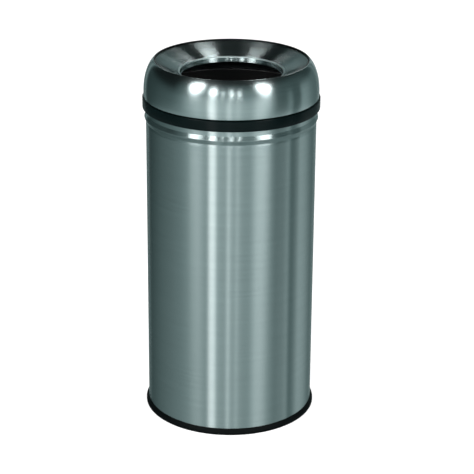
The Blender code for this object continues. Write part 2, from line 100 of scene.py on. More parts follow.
# The sheet's back, rougher and painted dark as a painted shade, and a band of painted highlight
# round the funnel's bend, with brightness as a share of the ground face's
BACK_PAINTED_SHADE = 0.06
DULL_ROUGHNESS = 0.5
PAINTED_HIGHLIGHT_BRIGHTNESS = 1.8
BEND_BAND_ROUGHNESS = 0.55
BEND_BAND_CORE = 0.0006  # the band of painted highlight is full this far above and below the bend
BEND_BAND_END = 0.0013
WORN_CORE = 0.0006  # worn bare this far down from the liner's rim
WORN_END = 0.0010


def frame_size(node, axis):
    """A frame node's furthest reach along an axis (0, 1 or 2)."""
    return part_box(node)[1][axis]


def frame_foot(node):
    """The height of a frame node's underside."""
    return round(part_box(node)[0].z, 4)


def length(name, description, default):
    """A property that holds a length."""
    return bpy.props.FloatProperty(
        name=name, description=description, default=default, min=0, precision=4, unit="LENGTH"
    )


def linear(hex_colour):
    """An sRGB hex colour as linear red, green and blue."""
    channels = [int(hex_colour[i : i + 2], 16) / 255 for i in (1, 3, 5)]
    return [c / 12.92 if c <= 0.04045 else ((c + 0.055) / 1.055) ** 2.4 for c in channels]


def colour(name, description, hex_colour):
    """A property that holds a colour."""
    return bpy.props.FloatVectorProperty(
        name=name,
        description=description,
        default=linear(hex_colour),
        size=3,
        min=0,
        max=1,
        subtype="COLOR",
    )


class WasteBinBody(bpy.types.PropertyGroup):
    """Sizes of the rolled body, its base plate and its foot ring."""

    radius: length("Radius", "Outside of the rolled body", 0.150)
    rim_height: length("Rim Height", "Top of the body's rolled rim", 0.5850)
    rim_roll: length("Rim Roll", "Radius of the rolled rim", 0.0025)
    swage_drop: length("Swage Drop", "Rim down to the swage's upper edge", 0.0250)
    swage_reach: length("Swage Reach", "Sharp crest of the swage beyond the wall", 0.0028)
    crest_round: length("Crest Round", "Round on the swage's crest", 0.0020)
    groove_depth: length("Groove Depth", "Swage's foot below the wall", 0.0005)
    ring_radius: length("Ring Radius", "Outside of the foot ring", frame_size("base_ring", 0))
    ring_height: length("Ring Height", "Top of the foot ring", frame_size("base_ring", 2))
    plate_height: length("Plate Height", "Top of the base plate", frame_size("base_plate", 2))


class WasteBinHead(bpy.types.PropertyGroup):
    """Sizes of the collar, the dome and the funnel."""

    collar_radius: length("Collar Radius", "Outside of the collar", frame_size("head_collar", 0))
    collar_top: length("Collar Top", "Top of the collar's web", frame_size("head_collar", 2))
    collar_skirt: length("Collar Skirt", "Body's rim down to the skirt's lower edge", 0.0155)
    dome_radius: length("Dome Radius", "Widest part of the dome", frame_size("head_dome", 0))
    dome_corner: length("Dome Corner", "Radius of the dome's turned-in edge", 0.0022)
    dome_straight: length("Dome Straight", "Plain band above the turned-in edge", 0.0073)
    crest_height: length("Crest Height", "Top of the dome's roll", frame_size("head_dome", 2))
    crest_radius: length("Crest Radius", "Circle of the dome's roll", 0.135)
    crest_roll: length("Crest Roll", "Radius of the dome's roll", 0.0025)
    throat_radius: length("Throat Radius", "Inside of the throat's rolled hem", 0.0880)
    throat_drop: length("Throat Drop", "Crest down to the corner of cone and neck", 0.0216)
    throat_bend: length("Throat Bend", "Round between cone and neck", 0.0020)
    throat_neck: length("Throat Neck", "That corner down to the hem", 0.0069)
    throat_hem: length("Throat Hem", "Radius of the rolled hem", 0.0011)


class WasteBinLiner(bpy.types.PropertyGroup):
    """Sizes of the liner, its ears and its bail."""

    radius: length("Radius", "Outside of the liner's wall", 0.1375)
    rim_height: length("Rim Height", "Top of the curled rim", 0.5978)
    wire_radius: length("Wire Radius", "Stiffening wire in the rim", 0.0015)
    bottom_rise: length("Bottom Rise", "Liner's foot up to its bottom", 0.0080)
    ear_width: length("Ear Width", "Width of an ear", 0.022)
    ear_drop: length("Ear Drop", "Rim down to the ear's foot", 0.028)
    ear_margin: length("Ear Margin", "Bail's pivot up to the ear's top", 0.0075)
    bail_wire: length("Bail Wire", "Radius of the bail's wire", 0.0020)


class WasteBinColours(bpy.types.PropertyGroup):
    """Colours of the bin's finishes and of the floor."""

    stainless: colour("Stainless", "Brushed stainless sheet", "#B3BFBF")
    galvanised: colour("Galvanised", "Galvanised sheet", "#CBD0D3")
    zinc: colour("Zinc Plate", "Zinc-plated wire, straps and rivets", "#D3D5D3")
    coat: colour("Powder Coat", "Coat on the liner", "#0B0C0D")
    rubber: colour("Rubber", "Foot ring", "#060C0D")
    plastic: colour("Plastic", "Collar", "#061314")
    floor: colour("Floor", "Studio floor", "#F2F2F2")


def arc(centre, radius, start, end, steps):
    """Points along an arc, as (radius, height) pairs, both ends included."""
    points = []
    for step in range(steps + 1):
        angle = start + (end - start) * step / steps
        points.append((centre[0] + radius * math.cos(angle), centre[1] + radius * math.sin(angle)))
    return points


def sheet(path, thickness):
    """A closed outline of sheet whose right-hand face follows path."""
    face = [Vector(point) for point in path]
    back = []
    for i, here in enumerate(face):
        arriving = (here - face[i - 1]).normalized() if i else None
        leaving = (face[i + 1] - here).normalized() if i + 1 < len(face) else None
        along = (arriving or leaving) + (leaving or arriving)
        along.normalize()
        left = Vector((-along.y, along.x))
        square_on = arriving or leaving
        mitre = left.dot(Vector((-square_on.y, square_on.x)))
        back.append(here + left * thickness / mitre)
    return [tuple(point) for point in face + back[::-1]]


def piece_from(name, shape, finish, body, nodes):
    """A smooth-shaded piece that rides on a body and stands for its frame nodes."""
    bmesh.ops.remove_doubles(shape, verts=shape.verts, dist=WELD_DISTANCE)
    bmesh.ops.recalc_face_normals(shape, faces=shape.faces)
    mesh = bpy.data.meshes.new(name)
    shape.to_mesh(mesh)
    shape.free()
    mesh.shade_smooth()
    mesh.set_sharp_from_angle(angle=SHARP_ANGLE)
    mesh.materials.append(finish_named(finish))
    piece = bpy.data.objects.new(name, mesh)
    bpy.context.scene.collection.objects.link(piece)
    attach(piece, body)
    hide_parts(*nodes)
    return piece


def turned_shape(outline, steps):
    """A closed outline turned about the Z axis; points at radius 0 meet there."""
    shape = bmesh.new()
    points = [shape.verts.new((radius, 0, height)) for radius, height in outline]
    edges = []
    for i, point in enumerate(points):
        if outline[i][0] > 0 or outline[i - 1][0] > 0:
            edges.append(shape.edges.new((points[i - 1], point)))
    bmesh.ops.spin(
        shape,
        geom=points + edges,
        cent=(0, 0, 0),
        axis=(0, 0, 1),
        angle=math.tau,
        steps=steps,
        use_merge=True,
    )
    return shape


def rounded(corners, steps):
    """A path past the corners between two ends, each turned on an arc.

    An end is a (radius, height) pair, and a corner has its rounding as well.
    """
    path = []
    for before, corner, after in zip(corners, corners[1:], corners[2:]):
        here = Vector(corner[:2])
        rounding = corner[2]
        arriving = (here - Vector(before[:2])).normalized()
        leaving = (Vector(after[:2]) - here).normalized()
        turn = math.atan2(arriving.cross(leaving), arriving.dot(leaving))
        start = here - arriving * rounding * math.tan(abs(turn) / 2)
        inward = Vector((-arriving.y, arriving.x)) * math.copysign(1, turn)
        centre = start + inward * rounding
        first = math.atan2(-inward.y, -inward.x)
        path += arc(centre, rounding, first, first + turn, steps)
    return path


def set_inputs(tree, node, inputs):
    """Sets a node's inputs to values, or links them to sockets."""
    for name, value in inputs.items():
        if isinstance(value, bpy.types.NodeSocket):
            tree.links.new(value, node.inputs[name])
        else:
            node.inputs[name].default_value = value


def add_node(tree, kind, inputs=None, stops=None, **settings):
    """Adds a node with its settings, its inputs' values or links, and a ramp's stops."""
    node = tree.nodes.new(kind)
    for name, value in settings.items():
        setattr(node, name, value)
    set_inputs(tree, node, inputs or {})
    for i, (place, value) in enumerate(stops or []):
        ramp = node.color_ramp.elements
        stop = ramp[i] if i < 2 else ramp.new(place)
        stop.position = place
        stop.color = (*value, 1)
    return node


def new_finish(name):
    """The node tree and the Principled shader of a new material."""
    material = bpy.data.materials.new(name)
    material.use_nodes = True
    return material.node_tree, material.node_tree.nodes["Principled BSDF"]


def round_the_axis(tree):
    """Sockets for a point's place round the bin: unit direction, distance and height."""
    place = add_node(tree, "ShaderNodeTexCoord").outputs["Object"]
    split = add_node(tree, "ShaderNodeSeparateXYZ", {"Vector": place})
    flat = add_node(
        tree, "ShaderNodeCombineXYZ", {"X": split.outputs["X"], "Y": split.outputs["Y"]}
    )
    out = add_node(tree, "ShaderNodeVectorMath", {0: flat.outputs[0]}, operation="NORMALIZE")
    far = add_node(tree, "ShaderNodeVectorMath", {0: flat.outputs[0]}, operation="LENGTH")
    turn = add_node(tree, "ShaderNodeSeparateXYZ", {"Vector": out.outputs["Vector"]})
    return turn.outputs["X"], turn.outputs["Y"], far.outputs["Value"], split.outputs["Z"]


def grit_lines(tree, place, spacing, streaks):
    """Noise drawn out round the axis: fine across the lines, slow along them.

    Place is what round_the_axis gives, and streaks is about how many patches of
    lines there are to a radian.
    """
    across, along, far, height = place
    fine = 1 / spacing
    scaled = []
    for value, scale in ((far, fine), (height, fine), (across, streaks), (along, streaks)):
        product = add_node(tree, "ShaderNodeMath", {0: value, 1: scale}, operation="MULTIPLY")
        scaled.append(product.outputs[0])
    point = add_node(tree, "ShaderNodeCombineXYZ", dict(zip("XYZ", scaled))).outputs[0]
    return add_node(
        tree,
        "ShaderNodeTexNoise",
        {"Vector": point, "W": scaled[3], "Scale": 1, "Detail": 2, "Roughness": 0.6},
        noise_dimensions="4D",
    ).outputs["Fac"]


def tinted(tree, base, factor, low, high):
    """A colour made a little darker and lighter by a factor."""
    level = add_node(
        tree, "ShaderNodeMapRange", {"Value": factor, **MIDDLE, "To Min": low, "To Max": high}
    ).outputs["Result"]
    return add_node(
        tree,
        "ShaderNodeVectorMath",
        {0: tuple(base), "Scale": level},
        operation="SCALE",
    ).outputs["Vector"]


def ground_face(tree, place, facing):
    """1 on the face that looks away from the axis, or towards it where facing is -1, and 0 on the
    back, which is painted dark as shade.
    """
    across, along, _, _ = place
    outward = add_node(tree, "ShaderNodeCombineXYZ", {"X": across, "Y": along}).outputs[0]
    normal = add_node(tree, "ShaderNodeTexCoord").outputs["Normal"]
    looks_out = add_node(
        tree, "ShaderNodeVectorMath", {0: normal, 1: outward}, operation="DOT_PRODUCT"
    ).outputs["Value"]
    turned_away = -0.25 * facing
    return add_node(
        tree,
        "ShaderNodeMapRange",
        {"Value": looks_out, "From Min": turned_away, "From Max": 0},
    ).outputs["Result"]


def outside_highlight_band(tree, place, bend_band_at):
    """1 away from the bend's band, and 0 round the given height, where the band of painted
    highlight lies.
    """
    _, _, _, height = place
    above = add_node(
        tree, "ShaderNodeMath", {0: height, 1: bend_band_at}, operation="SUBTRACT"
    ).outputs[0]
    away = add_node(tree, "ShaderNodeMath", {0: above}, operation="ABSOLUTE").outputs[0]
    return add_node(
        tree,
        "ShaderNodeMapRange",
        {"Value": away, "From Min": BEND_BAND_CORE, "From Max": BEND_BAND_END},
    ).outputs["Result"]


def belt_ground_stainless(name, base, roughness, grain, facing, bend_band_at=None):
    """Stainless sheet, ground round the bin's axis with a fine belt.

    The grit lines run round the bin, so every lamp's reflection is drawn out
    along the profile: up and down the body, and from rim to throat in the
    funnel. The real lines are about 0.2 mm apart; they are drawn 1.2 mm apart,
    because finer ones don't show in the render. Only the face that shows is
    ground, the one that looks away from the axis where facing is 1 and towards
    it where facing is -1; the other is rougher and painted dark, a painted shade.
    At the height the last argument gives, a band round the bend is rougher, has
    no grain and is painted lighter, a painted highlight.
    """
    tree, shader = new_finish(name)
    place = round_the_axis(tree)
    lines = grit_lines(tree, place, GRIT_SPACING, streaks=1.6)
    passes = grit_lines(tree, place, BELT_PASS_SPACING, streaks=0.8)
    ground = ground_face(tree, place, facing)
    tone = tinted(tree, base, lines, low=0.95, high=1.045)
    fine = add_node(
        tree,
        "ShaderNodeMapRange",
        {"Value": lines, **MIDDLE, "To Min": -0.004, "To Max": 0.004},
    ).outputs["Result"]
    broad = add_node(
        tree,
        "ShaderNodeMapRange",
        {"Value": passes, **MIDDLE, "To Min": roughness - 0.008, "To Max": roughness + 0.008},
    ).outputs["Result"]
    shine = add_node(tree, "ShaderNodeMath", {0: fine, 1: broad}, operation="ADD").outputs[0]
    least_rough = [(ground, DULL_ROUGHNESS)]
    brightness = 1
    if bend_band_at is not None:
        outside_band = outside_highlight_band(tree, place, bend_band_at)
        least_rough.append((outside_band, BEND_BAND_ROUGHNESS))
        # Painted highlight: the base colour in the band round the bend is made lighter
        brightness = add_node(
            tree, "ShaderNodeMapRange", {"Value": outside_band, "To Min": PAINTED_HIGHLIGHT_BRIGHTNESS, "To Max": 1}
        ).outputs["Result"]
        grain = add_node(
            tree, "ShaderNodeMapRange", {"Value": outside_band, "To Max": grain}
        ).outputs["Result"]
    for state, rough in least_rough:
        least = add_node(
            tree, "ShaderNodeMapRange", {"Value": state, "To Min": rough, "To Max": 0}
        ).outputs["Result"]
        shine = add_node(
            tree, "ShaderNodeMath", {0: shine, 1: least}, operation="MAXIMUM"
        ).outputs[0]
    # The back is painted dark, a painted shade, and the band round the bend painted lighter, a
    # painted highlight
    level = add_node(
        tree,
        "ShaderNodeMapRange",
        {"Value": ground, "To Min": BACK_PAINTED_SHADE, "To Max": brightness},
    ).outputs["Result"]
    shade = add_node(
        tree, "ShaderNodeVectorMath", {0: tone, "Scale": level}, operation="SCALE"
    ).outputs["Vector"]
    tangent = add_node(
        tree, "ShaderNodeTangent", direction_type="RADIAL", axis="Z"
    ).outputs["Tangent"]
    ridges = add_node(
        tree, "ShaderNodeBump", {"Height": lines, "Distance": METAL_RELIEF, "Strength": 0.15}
    ).outputs["Normal"]
    # A grain that is even all over stays a plain value on the shader's own socket
    set_inputs(
        tree,
        shader,
        {
            "Base Color": shade,
            "Metallic": 1,
            "Roughness": shine,
            "Anisotropic": grain,
            "Anisotropic Rotation": 0.25,
            "Tangent": tangent,
            "Normal": ridges,
        },
    )


def galvanised_sheet(base):
    """Hot-dip galvanised sheet: a dull grey with crystals about 7 mm across."""
    tree, shader = new_finish("galvanised_sheet")
    place = add_node(tree, "ShaderNodeTexCoord").outputs["Object"]
    crystals = add_node(
        tree,
        "ShaderNodeTexVoronoi",
        {"Vector": place, "Scale": 1 / CRYSTAL_WIDTH, "Randomness": 1.0},
    )
    grain = add_node(
        tree, "ShaderNodeSeparateColor", {"Color": crystals.outputs["Color"]}
    ).outputs["Red"]
    haze = add_node(
        tree, "ShaderNodeTexNoise", {"Vector": place, "Scale": 1 / HAZE_WIDTH, "Detail": 3}
    ).outputs["Fac"]
    tone = tinted(tree, base, grain, low=0.84, high=1.0)
    crystal_shine = add_node(
        tree, "ShaderNodeMapRange", {"Value": grain, "To Min": 0.38, "To Max": 0.54}
    ).outputs["Result"]
    haze_shine = add_node(
        tree, "ShaderNodeMapRange", {"Value": haze, **MIDDLE, "To Min": -0.03, "To Max": 0.03}
    ).outputs["Result"]
    shine = add_node(
        tree, "ShaderNodeMath", {0: crystal_shine, 1: haze_shine}, operation="ADD"
    ).outputs[0]
    dapple = add_node(
        tree, "ShaderNodeBump", {"Height": haze, "Distance": METAL_RELIEF, "Strength": 0.4}
    ).outputs["Normal"]
    set_inputs(
        tree, shader, {"Base Color": tone, "Metallic": 1, "Roughness": shine, "Normal": dapple}
    )


def zinc_plate(base):
    """Bright zinc plate on drawn wire and stamped strap: faintly cloudy."""
    tree, shader = new_finish("zinc_plate")
    place = add_node(tree, "ShaderNodeTexCoord").outputs["Object"]
    cloud = add_node(
        tree, "ShaderNodeTexNoise", {"Vector": place, "Scale": 1 / CLOUD_WIDTH, "Detail": 4}
    ).outputs["Fac"]
    tone = tinted(tree, base, cloud, low=0.9, high=1.04)
    shine = add_node(
        tree, "ShaderNodeMapRange", {"Value": cloud, **MIDDLE, "To Min": 0.25, "To Max": 0.38}
    ).outputs["Result"]
    drawn = add_node(
        tree, "ShaderNodeBump", {"Height": cloud, "Distance": METAL_RELIEF, "Strength": 0.2}
    ).outputs["Normal"]
    set_inputs(
        tree, shader, {"Base Color": tone, "Metallic": 1, "Roughness": shine, "Normal": drawn}
    )


def moulded_black(name, base, grain, relief, smoothest, roughest):
    """A black moulding with a fine grain from its tool."""
    tree, shader = new_finish(name)
    place = add_node(tree, "ShaderNodeTexCoord").outputs["Object"]
    grit = add_node(
        tree, "ShaderNodeTexNoise", {"Vector": place, "Scale": 1 / grain, "Detail": 3}
    ).outputs["Fac"]
    flow = add_node(
        tree, "ShaderNodeTexNoise", {"Vector": place, "Scale": 1 / FLOW_WIDTH, "Detail": 2}
    ).outputs["Fac"]
    tone = tinted(tree, base, flow, low=0.88, high=1.12)
    shine = add_node(
        tree,
        "ShaderNodeMapRange",
        {"Value": grit, **MIDDLE, "To Min": smoothest, "To Max": roughest},
    ).outputs["Result"]
    skin = add_node(
        tree, "ShaderNodeBump", {"Height": grit, "Distance": relief, "Strength": 0.5}
    ).outputs["Normal"]
    set_inputs(
        tree,
        shader,
        {"Base Color": tone, "Roughness": shine, "Specular IOR Level": 0.11, "Normal": skin},
    )


def powder_coat(base, bare, rim_height):
    """Black powder coat on the liner: satin, with the faint peel of a baked coat.

    Along the top of the rim, where the liner is gripped and rubbed, it is worn
    through to the steel, which shows as a thin bright line inside the throat.
    """
    tree, shader = new_finish("powder_coat")
    place = add_node(tree, "ShaderNodeTexCoord").outputs["Object"]
    peel = add_node(
        tree, "ShaderNodeTexNoise", {"Vector": place, "Scale": 1 / PEEL_WIDTH, "Detail": 2}
    ).outputs["Fac"]
    height = add_node(tree, "ShaderNodeSeparateXYZ", {"Vector": place}).outputs["Z"]
    worn = add_node(
        tree,
        "ShaderNodeMapRange",
        {"Value": height, "From Min": rim_height - WORN_END, "From Max": rim_height - WORN_CORE},
    ).outputs["Result"]
    coat = tinted(tree, base, peel, low=0.9, high=1.1)
    tone = add_node(
        tree, "ShaderNodeMix", {0: worn, 6: coat, 7: (*bare, 1)}, data_type="RGBA"
    ).outputs[2]
    shine = add_node(
        tree, "ShaderNodeMapRange", {"Value": peel, **MIDDLE, "To Min": 0.34, "To Max": 0.42}
    ).outputs["Result"]
    skin = add_node(
        tree, "ShaderNodeBump", {"Height": peel, "Distance": COAT_RELIEF, "Strength": 0.4}
    ).outputs["Normal"]
    set_inputs(
        tree,
        shader,
        {
            "Base Color": tone,
            "Metallic": worn,
            "Roughness": shine,
            "Specular IOR Level": 0.5,
            "Normal": skin,
        },
    )


def finish_named(name):
    """One of the bin's finishes; all are made once, from the scene's colours."""
    if name not in bpy.data.materials:
        tones = bpy.context.scene.waste_bin_colours
        head = bpy.context.scene.waste_bin_head
        liner = bpy.context.scene.waste_bin_liner
        belt_ground_stainless(
            "body_stainless", tones.stainless, roughness=0.25, grain=1.0, facing=1
        )
        belt_ground_stainless(
            "dome_stainless", tones.stainless, roughness=0.23, grain=0.8, facing=1
        )
        belt_ground_stainless(
            "funnel_stainless",
            tones.stainless,
            roughness=0.25,
            grain=1.0,
            facing=-1,
            bend_band_at=head.crest_height - head.throat_drop,
        )
        galvanised_sheet(tones.galvanised)
        zinc_plate(tones.zinc)
        powder_coat(tones.coat, tones.galvanised, liner.rim_height)
        # Nitrile rubber, moulded: matt, with a grain of about 0.8 mm
        moulded_black(
            "nitrile_rubber",
            tones.rubber,
            RUBBER_GRAIN,
            RUBBER_RELIEF,
            smoothest=0.5,
            roughest=0.62,
        )
        # Polypropylene, injection moulded: satin, its 0.4 mm grain drawn 1 mm wide to show
        moulded_black(
            "moulded_polypropylene",
            tones.plastic,
            PLASTIC_GRAIN,
            PLASTIC_RELIEF,
            smoothest=0.2,
            roughest=0.26,
        )
    return bpy.data.materials[name]


def turned_piece(name, outline, finish, body, *nodes):
    """A turned piece that stands for its frame nodes."""
    return piece_from(name, turned_shape(outline, TURNED_STEPS), finish, body, nodes)


# Swage: the slopes of its flanks and the rounds of its corners
UPPER_FLANK = math.radians(20)
LOWER_FLANK = math.radians(22.5)
GROOVE_SLOPE = math.radians(7)
RUN_OUT_ROUND = 0.0060
GROOVE_ROUND = 0.0008
SWAGE_TOP_ROUND = 0.0015


class WASTEBIN_OT_body(bpy.types.Operator):
    """Adds the rolled body, with a swage below its rim and the rim rolled inwards"""

    bl_idname = "waste_bin.body"
    bl_label = "Rolled Body"

    def execute(self, context):
        size = context.scene.waste_bin_body
        foot = frame_foot("body_shell")
        roll = (size.radius - size.rim_roll, size.rim_height - size.rim_roll)
        path = [(size.radius, foot)]
        path += rounded(self.swage_corners(size, foot, roll[1]), SWAGE_ROUND_STEPS)
        path += arc(roll, size.rim_roll, 0, math.pi, ROLL_STEPS)
        path.append((roll[0] - size.rim_roll, roll[1] - size.rim_roll))
        outline = sheet(path, STEEL_SHEET)
        turned_piece("rolled_body", outline, "body_stainless", "root", "body_shell")
        return {"FINISHED"}

    @staticmethod
    def swage_corners(size, foot, roll_height):
        """The wall's corners: a shallow groove with a swage that stands out above it."""
        top = size.rim_height - size.swage_drop
        crest = top - size.swage_reach / math.tan(UPPER_FLANK)
        fall = (size.swage_reach + size.groove_depth) / math.tan(LOWER_FLANK)
        groove = crest - fall
        run_out = groove - size.groove_depth / math.tan(GROOVE_SLOPE)
        return [
            (size.radius, foot),
            (size.radius, run_out, RUN_OUT_ROUND),
            (size.radius - size.groove_depth, groove, GROOVE_ROUND),
            (size.radius + size.swage_reach, crest, size.crest_round),
            (size.radius, top, SWAGE_TOP_ROUND),
            (size.radius, roll_height),
        ]


# Base plate's dish and the foot ring
DISH_DEPTH = 0.002
DISH_TOP_RADIUS = 0.100
DISH_FLOOR_RADIUS = 0.096
RING_INNER_WALL = 0.0028
RING_INNER_DROP = 0.0023  # the ring's top down to its inner wall's
RING_FOOT_ROUND = 0.0018
RING_SHOULDER = 0.0060  # its shoulder's height, and its round
RING_LIP = 0.0004  # half the lip's thickness


class WASTEBIN_OT_base(bpy.types.Operator):
    """Adds the pressed base plate and the foot ring that closes over the body's edge"""

    bl_idname = "waste_bin.base"
    bl_label = "Base Plate and Foot Ring"

    def execute(self, context):
        size = context.scene.waste_bin_body
        foot = frame_foot("base_plate")
        outside = size.radius - STEEL_SHEET - GAP
        corner = (outside - PAN_ROUND, size.plate_height - PAN_ROUND)
        dish = size.plate_height - DISH_DEPTH
        path = [(outside, foot)]
        path += arc(corner, PAN_ROUND, 0, math.pi / 2, SMALL_ROUND_STEPS)
        path += [(DISH_TOP_RADIUS, size.plate_height), (DISH_FLOOR_RADIUS, dish), (0, dish)]
        outline = sheet(path, STEEL_SHEET)
        turned_piece("pressed_base_plate", outline, "galvanised_sheet", "root", "base_plate")

        channel_outer = size.radius + GAP
        channel_inner = outside - STEEL_SHEET - GAP
        channel_floor = foot - GAP
        inside = channel_inner - RING_INNER_WALL
        inner_top = size.ring_height - RING_INNER_DROP
        low = (size.ring_radius - RING_FOOT_ROUND, RING_FOOT_ROUND)
        shoulder = (size.ring_radius, RING_SHOULDER, RING_SHOULDER)
        lip = (channel_outer + RING_LIP, size.ring_height - RING_LIP)
        outline = [(inside, 0)]
        outline += arc(low, RING_FOOT_ROUND, -math.pi / 2, 0, SMALL_ROUND_STEPS)
        lip_outside = (lip[0] + RING_LIP, lip[1])
        outline += rounded([outline[-1], shoulder, lip_outside], SMALL_ROUND_STEPS)
        outline += arc(lip, RING_LIP, 0, math.pi, SMALL_ROUND_STEPS)
        outline += [(channel_outer, channel_floor), (channel_inner, channel_floor)]
        outline += [(channel_inner, inner_top), (inside, inner_top)]
        turned_piece("foot_ring", outline, "nitrile_rubber", "root", "base_ring")
        return {"FINISHED"}


# Collar
COLLAR_PLAY = 0.0004  # the body's wall out to the skirt
COLLAR_WEB_REACH = 0.0072  # the body's outside in to the web's edge
SKIRT_ROUND = 0.0012
SKIRT_CHAMFER = 0.0008
COLLAR_TOP_ROUND = 0.0015


class WASTEBIN_OT_collar(bpy.types.Operator):
    """Adds the moulded collar: a skirt outside the body and a web over its rim"""

    bl_idname = "waste_bin.collar"
    bl_label = "Collar"

    def execute(self, context):
        body = context.scene.waste_bin_body
        size = context.scene.waste_bin_head
        skirt_inside = body.radius + COLLAR_PLAY
        web_inside = body.radius - COLLAR_WEB_REACH
        web_bottom = body.rim_height + GAP
        bottom = body.rim_height - size.collar_skirt
        low = (size.collar_radius - SKIRT_ROUND, bottom + SKIRT_ROUND)
        high = (size.collar_radius - COLLAR_TOP_ROUND, size.collar_top - COLLAR_TOP_ROUND)
        outline = [(skirt_inside + SKIRT_CHAMFER, bottom)]
        outline += arc(low, SKIRT_ROUND, -math.pi / 2, 0, SMALL_ROUND_STEPS)
        outline += arc(high, COLLAR_TOP_ROUND, 0, math.pi / 2, SMALL_ROUND_STEPS)
        outline += [(web_inside, size.collar_top), (web_inside, web_bottom)]
        outline += [(skirt_inside, web_bottom), (skirt_inside, bottom + SKIRT_CHAMFER)]
        turned_piece("moulded_collar", outline, "moulded_polypropylene", "head", "head_collar")
        return {"FINISHED"}


# Dome
DOME_REACH = math.radians(69)  # how far up its ellipse the side goes
FLANGE_REACH = 0.0064  # the body's outside in to the flange's edge
CREST_ROLL_END = math.radians(186)


def dome_path(body, size):
    """The dome's outer face, from its flange round the side to the crest's tip."""
    flange = size.collar_top + GAP
    crest_centre = size.crest_height - size.crest_roll
    corner = (size.dome_radius - size.dome_corner, flange + size.dome_corner)
    side = flange + size.dome_corner + size.dome_straight
    inset = size.dome_radius - size.crest_roll - size.crest_radius
    across = inset / (1 - math.cos(DOME_REACH))
    upward = (crest_centre - side) / math.sin(DOME_REACH)
    centre = size.dome_radius - size.crest_roll - across
    path = [(body.radius - FLANGE_REACH, flange)]
    path += arc(corner, size.dome_corner, -math.pi / 2, 0, SMALL_ROUND_STEPS)
    for step in range(DOME_STEPS + 1):
        angle = DOME_REACH * step / DOME_STEPS
        on_ellipse = Vector((centre + across * math.cos(angle), side + upward * math.sin(angle)))
        out = Vector((math.cos(angle) / across, math.sin(angle) / upward)).normalized()
        path.append(tuple(on_ellipse + out * size.crest_roll))
    start = math.atan2(out.y, out.x)
    crest = (size.crest_radius, crest_centre)
    path += arc(crest, size.crest_roll, start, CREST_ROLL_END, ROLL_STEPS)[1:]
    return path


class WASTEBIN_OT_dome(bpy.types.Operator):
    """Adds the spun dome, its lower edge turned in and its top edge rolled over"""

    bl_idname = "waste_bin.dome"
    bl_label = "Dome"

    def execute(self, context):
        path = dome_path(context.scene.waste_bin_body, context.scene.waste_bin_head)
        outline = sheet(path, STEEL_SHEET)
        turned_piece("spun_dome", outline, "dome_stainless", "head", "head_dome")
        return {"FINISHED"}


# Funnel
FUNNEL_LAP = 0.0033  # its flat rim, out under the dome's roll
NECK_TAPER = math.radians(12)
HEM_END = math.radians(300)


class WASTEBIN_OT_funnel(bpy.types.Operator):
    """Adds the spun funnel: a flat rim, a cone, a tapered neck and a rolled hem"""

    bl_idname = "waste_bin.funnel"
    bl_label = "Funnel"

    def execute(self, context):
        size = context.scene.waste_bin_head
        tip = dome_path(context.scene.waste_bin_body, size)[-1]
        start = (tip[0] + GAP, tip[1] - GAP)
        corner_height = size.crest_height - size.throat_drop
        neck_foot = (size.throat_radius + size.throat_hem, corner_height - size.throat_neck)
        corner_radius = neck_foot[0] + size.throat_neck * math.tan(NECK_TAPER)
        corner = (corner_radius, corner_height, size.throat_bend)
        hem = (neck_foot[0], neck_foot[1] - size.throat_hem)
        path = [(start[0] + FUNNEL_LAP, start[1]), start]
        path += rounded([start, corner, neck_foot], SMALL_ROUND_STEPS)
        path += arc(hem, size.throat_hem, math.pi / 2, HEM_END, ROLL_STEPS)
        outline = sheet(path, STEEL_SHEET)
        turned_piece("spun_funnel", outline, "funnel_stainless", "head", "head_funnel")
        return {"FINISHED"}


# Rivets: radius and height of the domed head and of the set tail, and the shank's radius
FLANGE_RIVET = {
    "head": 0.0028,
    "head_height": 0.0008,
    "shank": 0.0016,
    "tail": 0.0024,
    "tail_height": 0.0014,
}
STRAP_RIVET = {
    "head": 0.0036,
    "head_height": 0.0015,
    "shank": 0.0018,
    "tail": 0.0030,
    "tail_height": 0.0014,
}
FLANGE_RIVET_COUNT = 6
FLANGE_RIVET_INSET = 0.0034  # the body's outside in to their circle
FLANGE_RIVET_SEAT = 0.0012  # the web's underside up to their heads


def rivet_outline(grip, head, head_height, shank, tail, tail_height):
    """A rivet along Z, its domed head below 0 and its set tail above the grip."""

    def crown(radius, height, base, upward):
        points = []
        for step in range(CROWN_STEPS + 1):
            angle = math.pi / 2 * step / CROWN_STEPS
            points.append((radius * math.sin(angle), base + upward * height * math.cos(angle)))
        points[0] = (0, points[0][1])
        return points

    under = crown(head, head_height, 0, -1)
    over = crown(tail, tail_height, grip, 1)
    return under + [(shank, 0), (shank, grip)] + over[::-1]


class WASTEBIN_OT_collar_rivets(bpy.types.Operator):
    """Adds the six rivets that hold the dome's flange to the collar's web"""

    bl_idname = "waste_bin.collar_rivets"
    bl_label = "Collar Rivets"

    def execute(self, context):
        body = context.scene.waste_bin_body
        size = context.scene.waste_bin_head
        seat = body.rim_height + GAP + FLANGE_RIVET_SEAT
        grip = size.collar_top + GAP + STEEL_SHEET + GAP - seat + GAP
        outline = rivet_outline(grip, **FLANGE_RIVET)
        circle = body.radius - FLANGE_RIVET_INSET
        for i in range(FLANGE_RIVET_COUNT):
            angle = math.tau * (i + 1 / 2) / FLANGE_RIVET_COUNT
            shape = turned_shape(outline, RIVET_STEPS)
            place = Matrix.Translation(
                (circle * math.cos(angle), circle * math.sin(angle), seat - GAP)
            )
            bmesh.ops.transform(shape, matrix=place, verts=shape.verts)
            node = f"collar_rivet_{i + 1}"
            piece_from(f"flange_rivet_{i + 1}", shape, "zinc_plate", "head", [node])
        return {"FINISHED"}


CURL_END = math.radians(-95)  # where the liner's curl stops, past its lowest point


